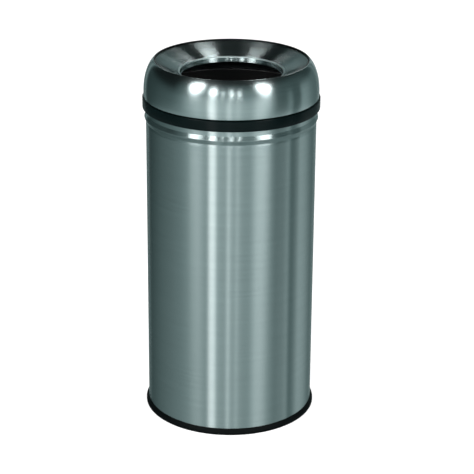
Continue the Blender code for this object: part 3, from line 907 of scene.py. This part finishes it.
class WASTEBIN_OT_liner(bpy.types.Operator):
    """Adds the liner: a rolled wall curled round a rim wire, and a pressed bottom"""

    bl_idname = "waste_bin.liner"
    bl_label = "Liner"

    def execute(self, context):
        size = context.scene.waste_bin_liner
        foot = frame_foot("liner_wall")
        inner = size.wire_radius + GAP
        curl = (size.radius + inner, size.rim_height - inner - LINER_SHEET)
        path = [(size.radius, foot)]
        path += arc(curl, inner, math.pi, CURL_END, WIRE_STEPS)
        outline = sheet(path, LINER_SHEET)
        turned_piece("liner_tube", outline, "powder_coat", "liner", "liner_wall")

        outline = arc(curl, size.wire_radius, 0, math.tau, WIRE_STEPS)[:-1]
        turned_piece("rim_wire", outline, "zinc_plate", "liner", "liner_rim_wire")

        outside = size.radius - LINER_SHEET - GAP
        top = foot + size.bottom_rise
        corner = (outside - PAN_ROUND, top - PAN_ROUND)
        path = [(outside, foot)]
        path += arc(corner, PAN_ROUND, 0, math.pi / 2, SMALL_ROUND_STEPS)
        path.append((0, top))
        outline = sheet(path, LINER_SHEET)
        turned_piece("liner_pan", outline, "powder_coat", "liner", "liner_bottom")
        return {"FINISHED"}


# Ears
EAR_EDGE = 0.0003  # round of the strap's edges
LOWER_RIVET_RISE = 0.0055  # the ear's foot up to its lower rivet
RIVET_SPACING = 0.0105


def ear_rivet_heights(size):
    """The heights of the lower and the upper rivet of an ear."""
    lower = size.rim_height - size.ear_drop + LOWER_RIVET_RISE
    return {"lower": lower, "upper": lower + RIVET_SPACING}


class WASTEBIN_OT_ears(bpy.types.Operator):
    """Adds the two ears that carry the bail, and their four rivets"""

    bl_idname = "waste_bin.ears"
    bl_label = "Ears and Ear Rivets"

    def execute(self, context):
        size = context.scene.waste_bin_liner
        heights = ear_rivet_heights(size)
        for side, label in ((1, "right"), (-1, "left")):
            node = f"liner_ear_{label}"
            low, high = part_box(node)
            inner, outer = (low.x, high.x) if side > 0 else (high.x, low.x)
            shape = self.strap(size, inner, outer)
            ear = piece_from(f"ear_strap_{label}", shape, "zinc_plate", "liner", [node])
            edge = ear.modifiers.new("rolled edge", "BEVEL")
            edge.width = EAR_EDGE
            edge.segments = 2
            edge.limit_method = "ANGLE"
            edge.harden_normals = True
            grip = size.radius + GAP - abs(inner) + GAP
            outline = rivet_outline(grip, **STRAP_RIVET)
            for place, height in heights.items():
                shape = turned_shape(outline, RIVET_STEPS)
                seat = Matrix.Translation((side * (size.radius + GAP), 0, height))
                lying = Matrix.Rotation(-side * math.pi / 2, 4, "Y")
                bmesh.ops.transform(shape, matrix=seat @ lying, verts=shape.verts)
                node = f"ear_rivet_{label}_{place}"
                piece_from(f"strap_rivet_{label}_{place}", shape, "zinc_plate", "liner", [node])
        return {"FINISHED"}

    @staticmethod
    def strap(size, inner, outer):
        """A strap, round at its top, with a hole for the bail and two for rivets."""
        half = size.ear_width / 2
        foot = size.rim_height - size.ear_drop
        pivot = size.rim_height + GAP + size.bail_wire
        shoulder = pivot + size.ear_margin - half
        outline = [(-half, foot), (half, foot)]
        outline += arc((0, shoulder), half, 0, math.pi, HOLE_STEPS)
        loops = [outline, arc((0, pivot), size.bail_wire + GAP, 0, math.tau, HOLE_STEPS)[1:]]
        rivet_hole = STRAP_RIVET["shank"] + GAP
        for height in ear_rivet_heights(size).values():
            loops.append(arc((0, height), rivet_hole, 0, math.tau, HOLE_STEPS)[1:])
        shape = bmesh.new()
        edges = []
        for loop in loops:
            points = [shape.verts.new((inner, y, z)) for y, z in loop]
            edges += [shape.edges.new((points[i - 1], point)) for i, point in enumerate(points)]
        bmesh.ops.triangle_fill(shape, edges=edges, use_beauty=True)
        grown = bmesh.ops.extrude_face_region(shape, geom=list(shape.faces))
        moved = [item for item in grown["geom"] if isinstance(item, bmesh.types.BMVert)]
        bmesh.ops.translate(shape, verts=moved, vec=(outer - inner, 0, 0))
        return shape


# Bail: its bends, and the upset ends that keep it in the ears
BAIL_BEND = 0.004
UPSET_RADIUS = 0.0032
# As (place out from the face against the ear, share of the upset radius)
UPSET_PROFILE = ((-0.0015, 0.8), (-0.0012, 1), (-0.0003, 1), (0, 0.9))
UPSET_NECK = 0.0002  # from that face out to the plain wire


class WASTEBIN_OT_bail(bpy.types.Operator):
    """Adds the bail: half a hoop of wire, its ends turned in through the ears"""

    bl_idname = "waste_bin.bail"
    bl_label = "Bail"

    def execute(self, context):
        size = context.scene.waste_bin_liner
        ear_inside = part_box("liner_ear_right")[0].x
        hoop = size.radius + size.wire_radius + GAP
        bend_x = math.sqrt((hoop - BAIL_BEND) ** 2 - BAIL_BEND**2)
        tangent = -math.asin(BAIL_BEND / (hoop - BAIL_BEND))
        face = ear_inside - GAP
        upset = UPSET_RADIUS / size.bail_wire
        half = [(face + past, 0, upset * share) for past, share in UPSET_PROFILE]
        half.append((face + UPSET_NECK, 0, 1))
        bend = arc((bend_x, -BAIL_BEND), BAIL_BEND, math.pi / 2, tangent, BAIL_BEND_STEPS)
        half += [(x, y, 1) for x, y in bend]
        hoop_arc = arc((0, 0), hoop, tangent, -math.pi / 2, BAIL_ARC_STEPS // 2)
        half += [(x, y, 1) for x, y in hoop_arc[1:]]
        points = half + [(-x, y, share) for x, y, share in half[-2::-1]]
        wire = bpy.data.curves.new("bail_wire", "CURVE")
        wire.dimensions = "3D"
        wire.bevel_depth = size.bail_wire
        wire.bevel_resolution = BAIL_BEVEL_RESOLUTION
        wire.use_fill_caps = True
        spline = wire.splines.new("POLY")
        spline.points.add(len(points) - 1)
        for point, (x, y, share) in zip(spline.points, points):
            point.co = (x, y, 0, 1)
            point.radius = share
        spline.use_smooth = True
        wire.materials.append(finish_named("zinc_plate"))
        bail = bpy.data.objects.new("bail_wire", wire)
        context.scene.collection.objects.link(bail)
        bail.location = (0, 0, size.rim_height + GAP + size.bail_wire)
        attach(bail, "bail")
        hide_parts("liner_bail")
        return {"FINISHED"}


# Lamps, aimed at the bin's shoulder: name, shape, azimuth, elevation, width, height and watts
LAMP_DISTANCE = 3.0
SHOULDER_HEIGHT = 0.6
ROUND = "ELLIPSE"
SQUARE = "RECTANGLE"
# Azimuth 0 is the camera's side and +90 its right
STUDIO_LAMPS = (
    ("left_soft_box", ROUND, -50, 32, 0.95, 1.75, 24),
    ("left_strip", ROUND, -24, 25, 0.48, 0.85, 8.0),
    ("row_lamp_left", ROUND, -11, 21, 0.10, 0.3, 0.8),
    ("row_lamp_middle", ROUND, 0.5, 22, 0.28, 0.35, 2.4),
    ("row_lamp_right", ROUND, 11, 21, 0.17, 0.3, 1.4),
    ("right_soft_box", ROUND, 46.8, 32, 0.95, 1.75, 24),
    ("rear_top_left", SQUARE, -157.5, 59, 0.11, 0.6, 1.6),
    ("rear_top_right", SQUARE, 158.4, 60, 0.17, 0.6, 3.9),
    ("rear_side_right", SQUARE, 148, 44, 0.3, 0.4, 1.1),
    ("rear_lamp_left", SQUARE, -158, 36, 0.06, 0.5, 0.5),
    ("rear_lamp_right_high", SQUARE, 158, 37, 0.06, 0.5, 0.6),
    ("rear_lamp_right_low", SQUARE, 162, 26, 0.06, 0.4, 0.3),
)

# What the metal sees of the studio, as (azimuth, brightness), where a lit strip may pass 1

# The table that the bin stands on
TABLE = (
    (-180, 0.05),
    (-150, 0.05),
    (-118, 0.30),
    (-84, 0.58),
    (-70, 0.62),
    (-58, 0.58),
    (-44, 0.65),
    (-30, 0.00),
    (44, 0.00),
    (57, 0.72),
    (67, 0.64),
    (79, 0.80),
    (86, 0.95),
    (90, 0.36),
    (98, 0.36),
    (103, 0.75),
    (112, 0.90),
    (125, 0.72),
    (145, 0.24),
    (180, 0.05),
)
# The walls up to about the bin's height, with strips of light between them
LOW_WALLS = (
    (-180, 0.03),
    (-150, 0.03),
    (-118, 0.07),
    (-84, 0.14),
    (-70, 0.24),
    (-58, 0.46),
    (-44, 0.72),
    (-31, 0.56),
    (-27.5, 2.05),
    (-21.5, 1.85),
    (-18, 0.74),
    (-7, 0.68),
    (-2.5, 1.40),
    (1, 0.74),
    (6, 0.74),
    (9, 1.04),
    (12, 0.72),
    (19, 0.62),
    (26, 0.60),
    (35, 1.00),
    (42, 0.94),
    (51, 0.60),
    (57, 0.16),
    (65, 0.00),
    (72, 0.04),
    (83, 0.34),
    (90, 0.00),
    (99, 0.00),
    (104, 0.40),
    (113, 0.36),
    (128, 0.20),
    (180, 0.03),
)
# The paler wall behind the lamps
LAMP_WALL = (
    (-180, 0.0),
    (-84, 0.0),
    (-70, 0.14),
    (-46, 0.20),
    (-20, 0.26),
    (36, 0.28),
    (54, 0.32),
    (62, 0.12),
    (80, 0.12),
    (105, 0.10),
    (125, 0.05),
    (180, 0.0),
)
# Strips of light high behind the bin
REAR_STRIPS = (
    (-180, 0.0),
    (-175, 0.0),
    (-171, 0.55),
    (-168, 0.0),
    (-163, 0.45),
    (-160, 0.0),
    (-150, 0.35),
    (-145, 0.0),
    (145, 0.0),
    (150, 0.35),
    (154, 0.0),
    (162, 0.55),
    (166, 0.0),
    (171, 0.40),
    (175, 0.0),
    (180, 0.0),
)
# The studio's bands, each with the Z of the directions where it starts to fade and is gone
STUDIO_BANDS = (
    (TABLE, -0.40, -0.30),
    (LOW_WALLS, 0.04, 0.26),
    (LAMP_WALL, 0.3, 0.85),
    (REAR_STRIPS, 0.35, 0.6),
)
# The table darkens close to the bin, as (Z of a direction, brightness)
TABLE_CLOSE = (-0.56, 0.34)
TABLE_FAR = (-0.42, 1.09)

# Grey paint that is cooler where it is darker, and a nearly black ceiling
RED_POWER = 1.135
RED_SHARE = 0.9
CEILING = (0.010, 0.014, 0.014)

# Backdrop, floor and what lights matt surfaces
BACKDROP_HALF_ANGLE = 12  # degrees either side of straight behind the bin
BACKDROP_TOP = 0.1  # Z of the directions that reach its top
FLOOR_SIZE = 8
FLOOR_GLOW = 0.62  # lifts the floor near white for the camera
MATT_LIGHT = (0.5, 0.5, 0.5, 1)
WHITE = (1, 1, 1, 1)

# Camera, as solved from the photograph's outline
PHOTO_WIDTH = 474  # pixels
FOCAL_LENGTH = 1720.8  # pixels
SENSOR_WIDTH = 36
CAMERA_PLACE = (0.0117, -2.8924, 1.4573)
CAMERA_PITCH = math.radians(21.444)
CAMERA_ROLL = 0.0078
FARTHEST_SEEN = 50


def grey_walls(tree, around, height):
    """What the metal sees of the table, the walls and the strips of light."""
    room = None
    for bands, low, high in STUDIO_BANDS:
        stops = [(0.5 + azimuth / 360, (level,) * 3) for azimuth, level in bands]
        walls = add_node(tree, "ShaderNodeValToRGB", {"Fac": around}, stops).outputs["Color"]
        fade = add_node(
            tree,
            "ShaderNodeMapRange",
            {"Value": height, "From Min": low, "From Max": high, "To Min": 1, "To Max": 0},
            interpolation_type="SMOOTHSTEP",
        ).outputs["Result"]
        band = add_node(
            tree, "ShaderNodeVectorMath", {0: walls, "Scale": fade}, operation="SCALE"
        ).outputs["Vector"]
        if room:
            band = add_node(
                tree, "ShaderNodeVectorMath", {0: room, 1: band}, operation="MAXIMUM"
            ).outputs["Vector"]
        room = band
    steepness = {"From Min": TABLE_CLOSE[0], "From Max": TABLE_FAR[0]}
    under = add_node(
        tree,
        "ShaderNodeMapRange",
        {"Value": height, **steepness, "To Min": TABLE_CLOSE[1], "To Max": TABLE_FAR[1]},
    ).outputs["Result"]
    room = add_node(
        tree, "ShaderNodeVectorMath", {0: room, "Scale": under}, operation="SCALE"
    ).outputs["Vector"]
    red = room
    for operation, value in (("POWER", RED_POWER), ("MULTIPLY", RED_SHARE)):
        red = add_node(
            tree, "ShaderNodeMath", {0: red, 1: value}, operation=operation
        ).outputs[0]
    paint = add_node(
        tree, "ShaderNodeCombineXYZ", {"X": red, "Y": room, "Z": room}
    ).outputs["Vector"]
    return add_node(
        tree, "ShaderNodeVectorMath", {0: paint, 1: CEILING}, operation="ADD"
    ).outputs["Vector"]


def white_backdrop(tree, around, height, path):
    """1 where white shows: to the camera all round, and to metal low behind the bin."""
    off_axis = add_node(
        tree, "ShaderNodeMath", {0: around, 1: 0.5}, operation="SUBTRACT"
    ).outputs[0]
    off_axis = add_node(tree, "ShaderNodeMath", {0: off_axis}, operation="ABSOLUTE").outputs[0]
    behind = add_node(
        tree,
        "ShaderNodeMath",
        {0: off_axis, 1: 0.5 - BACKDROP_HALF_ANGLE / 360},
        operation="GREATER_THAN",
    ).outputs[0]
    low = add_node(
        tree, "ShaderNodeMath", {0: height, 1: BACKDROP_TOP}, operation="LESS_THAN"
    ).outputs[0]
    backdrop = add_node(
        tree, "ShaderNodeMath", {0: behind, 1: low}, operation="MULTIPLY"
    ).outputs[0]
    in_metal = add_node(
        tree, "ShaderNodeMath", {0: path["Is Glossy Ray"], 1: backdrop}, operation="MULTIPLY"
    ).outputs[0]
    seen = add_node(
        tree,
        "ShaderNodeMath",
        {0: path["Is Camera Ray"], 1: path["Is Transmission Ray"]},
        operation="MAXIMUM",
    ).outputs[0]
    return add_node(
        tree, "ShaderNodeMath", {0: seen, 1: in_metal}, operation="MAXIMUM"
    ).outputs[0]


class WASTEBIN_OT_stage(bpy.types.Operator):
    """Adds the pale floor, the studio's lamps and walls, and the camera"""

    bl_idname = "waste_bin.stage"
    bl_label = "Stage"

    def execute(self, context):
        self.floor(context)
        for lamp in STUDIO_LAMPS:
            self.lamp(context, *lamp)
        self.walls(context)
        self.camera(context)
        return {"FINISHED"}

    @staticmethod
    def floor(context):
        """A pale floor that a camera sees near white, with the bin's soft shadow on it."""
        shape = bmesh.new()
        bmesh.ops.create_grid(shape, x_segments=4, y_segments=4, size=FLOOR_SIZE)
        mesh = bpy.data.meshes.new("studio_floor")
        shape.to_mesh(mesh)
        shape.free()
        tree, shader = new_finish("studio_floor")
        path = add_node(tree, "ShaderNodeLightPath").outputs
        glow = add_node(
            tree, "ShaderNodeMath", {0: path["Is Camera Ray"], 1: FLOOR_GLOW}, operation="MULTIPLY"
        ).outputs[0]
        set_inputs(
            tree,
            shader,
            {
                "Base Color": (*context.scene.waste_bin_colours.floor, 1),
                "Roughness": 0.9,
                "Specular IOR Level": 0,
                "Emission Color": WHITE,
                "Emission Strength": glow,
            },
        )
        mesh.materials.append(bpy.data.materials["studio_floor"])
        floor = bpy.data.objects.new("studio_floor", mesh)
        floor.visible_glossy = False
        context.scene.collection.objects.link(floor)

    @staticmethod
    def lamp(context, name, shape, azimuth, elevation, width, height, watts):
        """A soft box or strip that faces the bin's shoulder."""
        light = bpy.data.lights.new(name, "AREA")
        light.shape = shape
        light.size = width
        light.size_y = height
        light.energy = watts
        lamp = bpy.data.objects.new(name, light)
        turn = math.radians(azimuth)
        lift = math.radians(elevation)
        direction = Vector(
            (math.sin(turn) * math.cos(lift), -math.cos(turn) * math.cos(lift), math.sin(lift))
        )
        lamp.location = Vector((0, 0, SHOULDER_HEIGHT)) + direction * LAMP_DISTANCE
        lamp.rotation_euler = (-direction).to_track_quat("-Z", "Y").to_euler()
        lamp.visible_camera = False
        context.scene.collection.objects.link(lamp)

    @staticmethod
    def walls(context):
        """The studio round the bin: white behind it, grey walls and a dark ceiling."""
        world = bpy.data.worlds.new("studio")
        context.scene.world = world
        world.use_nodes = True
        tree = world.node_tree
        direction = add_node(tree, "ShaderNodeTexCoord").outputs["Generated"]
        turned = add_node(
            tree, "ShaderNodeMapping", {"Vector": direction, "Rotation": (0, 0, math.pi / 2)}
        ).outputs["Vector"]
        around = add_node(
            tree, "ShaderNodeTexGradient", {"Vector": turned}, gradient_type="RADIAL"
        ).outputs["Fac"]
        height = add_node(tree, "ShaderNodeSeparateXYZ", {"Vector": direction}).outputs["Z"]
        path = add_node(tree, "ShaderNodeLightPath").outputs
        room = grey_walls(tree, around, height)
        white = white_backdrop(tree, around, height, path)
        for share, colour_there in ((path["Is Diffuse Ray"], MATT_LIGHT), (white, WHITE)):
            room = add_node(
                tree, "ShaderNodeMix", {0: share, 6: room, 7: colour_there}, data_type="RGBA"
            ).outputs[2]
        set_inputs(tree, tree.nodes["Background"], {"Color": room})

    @staticmethod
    def camera(context):
        """The photograph's viewpoint: 21.4 degrees down, with a long lens."""
        data = bpy.data.cameras.new("camera")
        data.sensor_width = SENSOR_WIDTH
        data.lens = FOCAL_LENGTH * SENSOR_WIDTH / PHOTO_WIDTH
        data.clip_end = FARTHEST_SEEN
        forward = Vector((0, math.cos(CAMERA_PITCH), -math.sin(CAMERA_PITCH)))
        level_up = Vector((0, math.sin(CAMERA_PITCH), math.cos(CAMERA_PITCH)))
        level_right = Vector((1, 0, 0))
        right = level_right * math.cos(CAMERA_ROLL) + level_up * math.sin(CAMERA_ROLL)
        up = level_up * math.cos(CAMERA_ROLL) - level_right * math.sin(CAMERA_ROLL)
        turn = Matrix((right, up, -forward)).transposed().to_4x4()
        camera = bpy.data.objects.new("camera", data)
        camera.matrix_world = Matrix.Translation(CAMERA_PLACE) @ turn
        context.scene.collection.objects.link(camera)
        context.scene.camera = camera


PROPERTY_GROUPS = {
    "waste_bin_body": WasteBinBody,
    "waste_bin_head": WasteBinHead,
    "waste_bin_liner": WasteBinLiner,
    "waste_bin_colours": WasteBinColours,
}
OPERATORS = (
    WASTEBIN_OT_body,
    WASTEBIN_OT_base,
    WASTEBIN_OT_collar,
    WASTEBIN_OT_dome,
    WASTEBIN_OT_funnel,
    WASTEBIN_OT_collar_rivets,
    WASTEBIN_OT_liner,
    WASTEBIN_OT_ears,
    WASTEBIN_OT_bail,
    WASTEBIN_OT_stage,
)


class WASTEBIN_PT_panel(bpy.types.Panel):
    """Lists the bin's pieces and its stage in the sidebar."""

    bl_label = "Waste Bin"
    bl_idname = "WASTEBIN_PT_panel"
    bl_space_type = "VIEW_3D"
    bl_region_type = "UI"
    bl_category = "Waste Bin"

    def draw(self, context):
        for operator in OPERATORS:
            self.layout.operator(operator.bl_idname)
        for group in PROPERTY_GROUPS:
            self.layout.label(text=group.replace("_", " ").title())
            settings = getattr(context.scene, group)
            for name in settings.__annotations__:
                self.layout.prop(settings, name)


def register():
    """Registers the settings, the operators and the panel."""
    for name, group in PROPERTY_GROUPS.items():
        bpy.utils.register_class(group)
        setattr(bpy.types.Scene, name, bpy.props.PointerProperty(type=group))
    for item in (*OPERATORS, WASTEBIN_PT_panel):
        bpy.utils.register_class(item)


def unregister():
    """Takes the panel, the operators and the settings away again."""
    for item in (WASTEBIN_PT_panel, *reversed(OPERATORS)):
        bpy.utils.unregister_class(item)
    for name, group in reversed(PROPERTY_GROUPS.items()):
        delattr(bpy.types.Scene, name)
        bpy.utils.unregister_class(group)


def main():
    """Makes every piece and the stage."""
    register()
    for operator in OPERATORS:
        group, name = operator.bl_idname.split(".")
        getattr(getattr(bpy.ops, group), name)()
    bpy.context.scene.view_settings.view_transform = "Standard"


if __name__ == "__main__":
    main()
